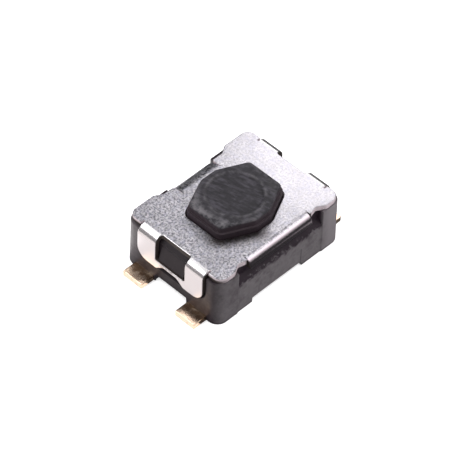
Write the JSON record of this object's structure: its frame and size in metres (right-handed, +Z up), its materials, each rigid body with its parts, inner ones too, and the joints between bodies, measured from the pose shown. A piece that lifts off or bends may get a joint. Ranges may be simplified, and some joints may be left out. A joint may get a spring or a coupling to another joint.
{
  "type": "tactile push button switch",
  "caption": "Low surface-mount tactile switch with a stepped, facetted push button, a folded steel cover clipped to a moulded base, and flat solder terminals.",
  "frame": {"origin": "middle of the body's outline, on the board plane", "axes": "+X along the body, from the left pair of terminals to the right pair; +Y across it, from the front long wall to the rear one; +Z up, away from the board"},
  "size_m": [0.0052, 0.0032, 0.0019],
  "materials": {
    "moulding": "satin black moulded thermoplastic",
    "cover_steel": "fine-grained satin stainless sheet",
    "button_plastic": "matte black moulded thermoplastic",
    "dome_steel": "bright spring steel",
    "film": "amber sealing film",
    "plated_contact": "gold-plated copper alloy strip"
  },
  "bodies": {
    "housing": {"base": "moulding", "cover": "cover_steel", "contact_dome": "dome_steel", "seal_film": "film", "centre_contact": "plated_contact", "rim_contact": "plated_contact"},
    "actuator": {"button": "button_plastic"}
  },
  "joints": [
    {"name": "button_press", "type": "slide", "parent": "housing", "child": "actuator", "axis": [0, 0, -1], "range_m": [0, 0.0002], "stiffness_N_per_m": 10000, "deforming": ["contact_dome", "seal_film"]}
  ]
}
